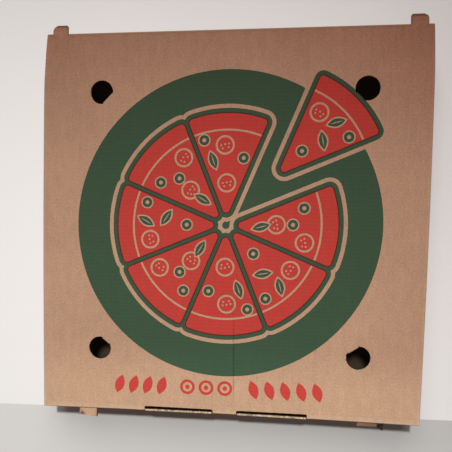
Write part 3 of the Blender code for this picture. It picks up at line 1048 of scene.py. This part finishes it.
def place_wrap(u, v, w):
    """The tray's front wall, bottom, back wall and hinge, bent from one strip."""
    stretches = (
        (FRONT_FOLD, 0),
        (ARC, QUARTER),
        (BACK_FOLD - BOTTOM_START, 0),
        (ARC, QUARTER),
        (HINGE_FOLD - BACK_START, 0),
        (ARC, QUARTER),
    )
    depth, up, out_y, out_z, kept = bent(v, (0, TRAY_TOP), -QUARTER, stretches)
    low = smoothstep((v - FRONT_FOLD) / ARC) * smoothstep((BACK_START - v) / ARC)
    half = half_width(TRAY_FRONT + depth, np.sign(u), TRAY_INSET + low * FOLD_RADIUS)
    x = u / WRAP_HALF * half
    bow = (front_y(x, TRAY_INSET) - TRAY_FRONT) * (1 - smoothstep(depth / BOW_FADE))
    hinge_step = HINGE_STEP * smoothstep((v - BACK_START - HINGE_STRIP_START) / HINGE_STRIP_EASE)
    past_inner = smoothstep((np.abs(x) - SLOT_INNER_X + TAB_MARGIN) / TAB_EASE)
    before_outer = smoothstep((SLOT_OUTER_X + TAB_MARGIN - np.abs(x)) / TAB_EASE)
    lean = TAB_LEAN * past_inner * before_outer * smoothstep((TAB_LEAN_DEPTH - v) / TAB_LEAN_DEPTH)
    y = TRAY_FRONT + depth + bow + hinge_step - lean
    inward = (BOARD - w) * kept
    return x, y - out_y * inward, up - out_z * inward


def across_wrap(x, y):
    """Where on the strip's width a place across the tray lies."""
    return x / float(half_width(y, np.sign(x), TRAY_INSET)) * WRAP_HALF


def stepped(low_x, high_x, y, foot, level):
    """Four points that step an edge from one level to another and back."""
    start, end = across_wrap(low_x, y), across_wrap(high_x, y)
    return [(start, foot), (start, level), (end, level), (end, foot)]


def front_edge():
    """The front wall's top edge from left to right, with its lock tabs and the gaps over the front ears."""
    front = -LID_LENGTH / 2
    ear_gap = TRAY_TOP - (FRONT_EAR_TOP - BOARD) + CLEARANCE / 2
    tab_rise = TRAY_TOP - LOCK_TAB_TOP + FRAY_DEPTH
    outer_ear = FLAT_EAR_OUTER + FLAT_EAR_SPREAD + CLEARANCE
    edge = [(-WRAP_HALF, 0.0), *stepped(-outer_ear, -FLAT_EAR_INNER + CLEARANCE, front, 0.0, ear_gap)]
    for low, high in ((-SLOT_OUTER_X, -SLOT_INNER_X), (SLOT_INNER_X, SLOT_OUTER_X)):
        edge += stepped(low + LOCK_TAB_END_GAP, high - LOCK_TAB_END_GAP, front, 0.0, tab_rise)
    bent_end = BENT_EAR_START + BENT_EAR_WIDTH
    edge += stepped(BENT_EAR_START - CLEARANCE, bent_end + CLEARANCE, front, 0.0, ear_gap)
    return [*edge, (WRAP_HALF, 0.0)]


def hinge_edge():
    """The hinge's edge from right to left, with the notches under the ears."""
    foot = BACK_START + BOX_HEIGHT - FOLD_RADIUS - NOTCH_HEIGHT
    margin = NOTCH_MARGIN
    return [
        (WRAP_HALF, HINGE_END),
        *stepped(RIGHT_EAR["outer"] + margin, RIGHT_EAR["inner"] - margin, BACK_Y, HINGE_END, foot),
        *stepped(-LEFT_EAR["inner"] + margin, -LEFT_EAR["outer"] - margin, BACK_Y, HINGE_END, foot),
        (-WRAP_HALF, HINGE_END),
    ]


def tray_panels():
    """The tray's strip from the front wall round to the hinge, in three panels."""
    u_lines = between(-0.160, 0.160, 20)
    folds = (FRONT_FOLD, BACK_FOLD, HINGE_FOLD)
    ends = [[(side * WRAP_HALF, level) for side in (-1, 1)] for level in (BOTTOM_START, BACK_FOLD)]
    front_lines = between(0.002, FRONT_FOLD, 6) + between(FRONT_FOLD, BOTTOM_START, 5)[1:]
    bottom_lines = between(BOTTOM_START, BACK_FOLD, 20)
    back_lines = between(BACK_FOLD, BACK_START, 5) + between(BACK_START, HINGE_FOLD, 8)[1:]
    back_lines += between(HINGE_FOLD, HINGE_END, 5)[1:]
    for name, outline, v_lines in (
        ("tray_front", front_edge() + ends[0][::-1], [0.0, *front_lines]),
        ("tray_bottom", ends[0] + ends[1][::-1], bottom_lines),
        ("tray_back", ends[1] + hinge_edge(), back_lines),
    ):
        board(name, outline, place_wrap, u_lines, v_lines, column_width=0.016,
              wear_and_highlight=lambda u, v: fold_wear(v, folds), shift=(0.5, 0.3))


def frayed_edge(name, side):
    """The torn raw edge along the top of a lock tab."""
    draws = random.Random(53 + side)
    start = SLOT_INNER_X + LOCK_TAB_END_GAP
    end = SLOT_OUTER_X - LOCK_TAB_END_GAP
    base = LOCK_TAB_TOP - FRAY_DEPTH - SIDE_GAP
    co, faces = [], []
    columns = between(start, end, FRAY_COLUMNS)
    for x in columns:
        outer = tab_face(side * x)
        inner = outer + BOARD + 0.0002 * draws.uniform(-1.4, 0.6)
        row = [(side * x, outer, base), (side * x, outer, LOCK_TAB_TOP - 0.0003 * draws.random())]
        for share in FRAY_SHARES:
            y = outer + (inner - outer) * (share + 0.08 * draws.uniform(-1, 1))
            row.append((side * x, y, LOCK_TAB_TOP - 0.0004 * draws.random() ** 2))
        row.append((side * x, inner, LOCK_TAB_TOP - 0.0005 * draws.random()))
        row.append((side * x, inner, base))
        co += row
    across = len(row)
    for column in range(len(columns) - 1):
        for k in range(across):
            a, b = column * across + k, column * across + (k + 1) % across
            faces.append((a, a + across, b + across, b) if side > 0 else (b, b + across, a + across, a))
    last = (len(columns) - 1) * across
    caps = [tuple(range(across)), tuple(range(last + across - 1, last - 1, -1))]
    faces += caps if side > 0 else [cap[::-1] for cap in caps]
    # Dark speckles along the torn top, and painted shade on the outer face down in the slot.
    speckles_and_shade = []
    for column in range(len(columns)):
        if column % 2 == 0:
            dark = draws.uniform(0.8, 1.5) if draws.random() < 0.42 else draws.uniform(0, 0.3)
        speckles_and_shade += [1.3 if k < 2 else dark * draws.uniform(0.5, 1.0) for k in range(across)]
    mesh = finished_mesh(name, co, faces, [0] * len(faces), co, np.zeros(len(co)), speckles_and_shade, (FRAYED,))
    mesh_object(name, turned_outwards(mesh))


def tray_side(name, sign, taper):
    """One of the tray's side walls, folded up from the bottom, with its flutes upright."""
    height = ARC + TRAY_TOP - FOLD_RADIUS
    low_y = TRAY_FRONT + BOARD + SIDE_GAP
    high_y = TRAY_BACK - BOARD - CLEARANCE

    def place(u, v, w):
        out, up, out_x, out_z, kept = bent(u, (-FOLD_RADIUS, 0), 0.0, ((ARC, QUARTER), (height - ARC, 0)))
        inward = (BOARD - w) * kept
        half = side_x(v, taper, TRAY_INSET)
        return sign * (half + out - out_x * inward), v + 0 * u, up - out_z * inward

    outline = [(0, low_y), (height, low_y), (height, high_y), (0, high_y)]
    u_lines = between(0, ARC, 5)[1:] + between(ARC, height, 5)[1:-1]
    v_lines = between(low_y, high_y, 48)[1:-1]
    board(name, outline, place, u_lines, v_lines, column_width=0.0007,
          wear_and_highlight=lambda u, v: fold_wear(u, (0.0,)), shift=(0.9, sign * 0.7))


def lid_inner():
    """The lid's fluting and inner liner, under the printed sheet."""
    def place(u, v, w):
        return u, v, lid_top(u, v) - (BOARD - w)

    ring = [(x, y) for x, y, _ in lid_outline(INNER_INSET)]
    holes = [[(x, y) for x, y, _ in vent_ring(number)] for number in range(4)]
    board("lid_inner", ring, place, between(-0.155, 0.155, 20), between(-0.155, 0.155, 60),
          holes=holes, outer=False, shift=(0.2, 0.9))


def flat_front_ear():
    """The left ear under the lid's front edge, with one flute open at its outer corner."""
    root = -LID_LENGTH / 2 + EAR_ROOT
    tip = -LID_LENGTH / 2 - FLAT_EAR_REACH
    ring = [
        (-FLAT_EAR_OUTER, root),
        (-FLAT_EAR_OUTER - FLAT_EAR_SPREAD, tip + FLAT_EAR_SLANT),
        (-FLAT_EAR_INNER - FLAT_EAR_SPREAD, tip),
        (-FLAT_EAR_INNER, root),
    ]

    def place(u, v, w):
        droop = 0.03 * np.maximum(0, -LID_LENGTH / 2 - v) * smoothstep((u + FLAT_EAR_OUTER) / 0.01)
        return u, v, FRONT_EAR_TOP - droop - (BOARD - w)

    # Painted shade along the ear's cut sides and round the open flute's rim.
    def painted_edge_shade(u, v):
        spread = FLAT_EAR_SPREAD * (root - v) / (root - tip)
        to_side = np.minimum(0.6 * (-FLAT_EAR_INNER - spread - u), u + FLAT_EAR_OUTER + spread)
        to_hole = np.abs(np.hypot(u - OPEN_FLUTE.x, v - OPEN_FLUTE.y) - OPEN_FLUTE_RADIUS)
        return np.maximum(1.8 * np.exp(-np.maximum(to_side, 0) / 0.0005), 1.5 * np.exp(-to_hole / 0.0004))

    hole = rounded([OPEN_FLUTE], OPEN_FLUTE_RADIUS, math.radians(30))
    # Lines lie close together at the ear's sides, where the painted shade of the edge fades
    u_lines = [-0.1318, -0.1313, -0.1278, *between(-0.1262, -0.1175, 4), -0.1166, -0.1161, -0.1157, -0.1153]
    board("front_ear_left", ring, place, u_lines, [root - 0.001, *between(-0.165, -0.1687, 3), -0.1718],
          holes=[hole], column_width=0.006, scuff_and_shade=painted_edge_shade, shift=(1.3, 0))


def bent_front_ear():
    """The right ear under the lid's front edge, folded down, less so towards its outer tip."""
    root_y = -LID_LENGTH / 2 + LOCK_TAB_SETBACK

    def place(u, v, w):
        turned = np.clip((u / BENT_EAR_WIDTH - BENT_EAR_TWIST_START) / (1 - BENT_EAR_TWIST_START), 0, 1)
        angle = BENT_EAR_FOLD + (BENT_EAR_TIP_FOLD - BENT_EAR_FOLD) * turned
        out = np.maximum(0, v)
        x = BENT_EAR_START + u
        y = root_y - np.minimum(0, v) - out * np.cos(angle)
        return x, y, FRONT_EAR_TOP - out * np.sin(angle) - (BOARD - w)

    def fold_rubbed(u, v):
        return 0.8 * np.exp(-((u - twist_u + 0.0006) / 0.0005) ** 2) * (v > 0)

    # Painted shade on the folded-down ear, darkest on its twisted tip.
    def painted_fold_shade(u, v):
        return np.where(v > 0.0002, np.where(u > twist_u, 1.9, 0.2 + 0.5 * u / twist_u), 0.0)

    twist_u = BENT_EAR_WIDTH * BENT_EAR_TWIST_START
    ring = [(u, -EAR_ROOT) for u in (0, BENT_EAR_WIDTH)] + [(u, BENT_EAR_LENGTH) for u in (BENT_EAR_WIDTH, 0)]
    # Lines lie close together at the root, where the ear bends
    v_lines = [-0.002, 0.0, 0.0004, 0.0015, 0.003, 0.0045, 0.006, 0.0072]
    board("front_ear_right", ring, place, between(0.002, 0.020, 12), v_lines, column_width=0.0015,
          wear_and_highlight=fold_rubbed, scuff_and_shade=painted_fold_shade, shift=(1.6, 0))


def vent_disc(number, lean):
    """A vent's disc, pushed down and hanging inside from its straight side."""
    x, y = VENTS[number]
    to_middle = vent_way(number)
    way = Vector((math.cos(to_middle), math.sin(to_middle), 0))
    along = Vector((-way.y, way.x, 0))
    up = Vector((0, 0, 1))
    angle = math.radians(lean)
    down_sheet = -way * math.cos(angle) - up * math.sin(angle)
    normal = up * math.cos(angle) - way * math.sin(angle)
    pivot = Vector((x, y, LID_UNDERSIDE)) + way * VENT_HINGES[number]

    def place(u, v, w):
        aside = (u - x) * along.x + (v - y) * along.y
        reach = VENT_HINGES[number] - (u - x) * way.x - (v - y) * way.y
        curl = VENT_DISC_CURL * aside ** 2 / VENT_RADIUS
        return tuple(
            pivot[axis] + aside * along[axis] + reach * down_sheet[axis] + (w - BOARD + curl) * normal[axis]
            for axis in range(3)
        )

    ring = [(px, py) for px, py, _ in vent_ring(number, ragged=0.00005)][::-1]
    lines = [between(middle - VENT_DISC_LINES, middle + VENT_DISC_LINES, 4) for middle in (x, y)]
    board("vent_disc_%d" % (number + 1), ring, place, *lines, column_width=0.004, shift=(0.2, 0.9))


lid_liner()
lid_inner()
tray_panels()
frayed_edge("lock_tab_edge_left", -1)
frayed_edge("lock_tab_edge_right", 1)
tray_side("tray_side_left", -1, LEFT_TAPER)
tray_side("tray_side_right", 1, RIGHT_TAPER)
flat_front_ear()
bent_front_ear()
for vent_number, disc_lean in enumerate(VENT_DISC_LEANS):
    vent_disc(vent_number, disc_lean)


def place_camera():
    """The camera, tilted a little from straight above, with its lens shifted as the photograph is cropped."""
    data = bpy.data.cameras.new("camera")
    data.sensor_width = SENSOR_MM
    data.lens = LENS_MM
    data.shift_x, data.shift_y = LENS_SHIFT
    data.clip_start = 0.01
    camera = bpy.data.objects.new("camera", data)
    up = CAMERA_RIGHT.cross(CAMERA_FORWARD)
    turned = Matrix((CAMERA_RIGHT, up, -CAMERA_FORWARD)).transposed().to_4x4()
    camera.matrix_world = Matrix.Translation(CAMERA_PLACE) @ turned
    bpy.context.scene.collection.objects.link(camera)
    bpy.context.scene.camera = camera


def grouped(name, things):
    """A collection of some of the things in the scene, for a lamp's reach."""
    group = bpy.data.collections.new(name)
    for thing in things:
        group.objects.link(thing)
    return group


def lamp(name, place, target, power, colour, lit, blockers=(), **shape):
    """A lamp that faces a point and lights only some things, so that the inside of the shut box stays dim.

    Where blockers are named, only they cast its shadows. With a cone it is a spot, and else a square."""
    data = bpy.data.lights.new(name, "SPOT" if "spot_size" in shape else "AREA")
    data.energy = power
    data.color = colour
    for setting, value in shape.items():
        setattr(data, setting, value)
    light = bpy.data.objects.new(name, data)
    light.location = place
    light.rotation_euler = (Vector(target) - Vector(place)).to_track_quat("-Z", "Y").to_euler()
    bpy.context.scene.collection.objects.link(light)
    light.light_linking.receiver_collection = grouped(name + "_reach", lit)
    if blockers:
        light.light_linking.blocker_collection = grouped(name + "_blockers", blockers)


def cone(radius, angle, blend):
    """A round lamp's size in metres, its cone in degrees and how soft the cone's edge is."""
    return {"shadow_soft_size": radius, "spot_size": math.radians(angle), "spot_blend": blend}


def world_fill(colour, strength):
    """Even light from all round."""
    world = bpy.data.worlds.new("room")
    world.use_nodes = True
    background = world.node_tree.nodes["Background"]
    background.inputs["Color"].default_value = (*colour, 1)
    background.inputs["Strength"].default_value = strength
    bpy.context.scene.world = world


def stage_material(name, colour, by_depth, painted_shadow=0.0):
    """A smooth painted surface, a little uneven, whose tone changes from front to back as painted shade.

    by_depth gives two places from front to back and their tones; painted_shadow darkens a patch of the ledge
    close in front of the box, at the right, as a painted shadow."""
    material = bpy.data.materials.new(name)
    material.use_nodes = True
    tree = material.node_tree
    shader = tree.nodes["Principled BSDF"]
    place = add_node(tree, "ShaderNodeTexCoord").outputs["Object"]
    cloud = add_node(tree, "ShaderNodeTexNoise", {"Vector": place, "Scale": 3.0, "Detail": 3.0}).outputs[0]
    forward = add_node(tree, "ShaderNodeSeparateXYZ", {0: place}).outputs["Y"]
    tone = between_values(tree, cloud, 0.3, 0.7, 0.98, 1.02)
    tone = math_node(tree, "MULTIPLY", tone, between_values(tree, forward, *by_depth))
    # A painted shadow on the ledge close in front of the box, from left of the middle to the right.
    if painted_shadow:
        across = add_node(tree, "ShaderNodeSeparateXYZ", {0: place}).outputs["X"]
        reach = between_values(tree, across, -0.20, -0.10)
        close = between_values(tree, forward, -0.245, -0.19, 0.35, 1.0)
        shade = math_node(tree, "MULTIPLY", reach, close)
        tone = math_node(tree, "MULTIPLY", tone, math_node(tree, "MULTIPLY_ADD", shade, -painted_shadow, 1.0))
    tree.links.new(scaled(tree, colour[:3], tone), shader.inputs["Base Color"])
    shader.inputs["Roughness"].default_value = 0.7
    return material


def floor():
    """A white panel on which the box lies, and a grey ledge along its front."""
    half = STAGE_HALF
    left, right = (STAGE_LINE_Y + side * STAGE_LINE_SLOPE * half for side in (-1, 1))
    # Painted shade: the panel darker towards the back and the ledge darker towards the box.
    panel = stage_material("white_panel", (0.97, 0.770, 0.765), (-0.10, 0.21, 0.99, 0.94))
    ledge = stage_material("grey_ledge", (0.77, 0.61, 0.60), (-0.40, -0.18, 1.0, 0.98), 0.16)
    for name, material, corners in (
        ("panel", panel, ((-half, left), (half, right), (half, half), (-half, half))),
        ("ledge", ledge, ((-half, -half), (half, -half), (half, right), (-half, left))),
    ):
        mesh = bpy.data.meshes.new(name)
        mesh.from_pydata([(x, y, 0.0) for x, y in corners], [], [(0, 1, 2, 3)])
        mesh.materials.append(material)
        surface = bpy.data.objects.new(name, mesh)
        bpy.context.scene.collection.objects.link(surface)
        surface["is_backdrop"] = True


def light_everything():
    """The lamps: one set for the box, one for the panel and ledge, and a weak one inside."""
    stage = [o for o in bpy.context.scene.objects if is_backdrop(o)]
    box = [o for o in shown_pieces() if o.name not in ("tray_bottom", "tray_front")]
    bottom = [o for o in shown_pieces() if o.name == "tray_bottom"]
    shading = [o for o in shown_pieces() if not o.name.startswith("front_ear")]
    lamp("lamp", LAMP_PLACE, (-0.064, -0.404, 0.0), 98.5, LAMP_COLOUR, box, **cone(0.07, 48.3, 1.0))
    lamp("front_lamp", LAMP_PLACE, (-0.08, -8.0, 0.0), 24, (0.80, 1.0, 0.95), box, **cone(0.02, 112.6, 0.006))
    lamp("warm_glow", (0.0, 0.0, 1.6), (0.0, 0.0, 0.0), 20.0, (1.0, 0.03, 0.02), box, **cone(0.5, 70, 0.3))
    lamp("light_through_vents", LAMP_PLACE, (-0.085, -0.687, 0.0), 15, (0.80, 0.95, 1.0), bottom,
         **cone(0.12, 63.4, 1.0))
    lamp("stage_lamp", LAMP_PLACE, (-0.352, -0.973, 0.0), 87.7, LAMP_COLOUR, stage, shading,
         **cone(0.045, 87.4, 1.0))
    lamp("wide_window", (-0.05, 0.86, 1.05), (-0.05, 0.10, 0.0), 10.1, (0.83, 0.97, 0.94), stage, size=0.9)
    world_fill((0.96, 1.0, 0.93), 0.100)


floor()
place_camera()
light_everything()
bpy.context.scene.view_settings.view_transform = "Standard"
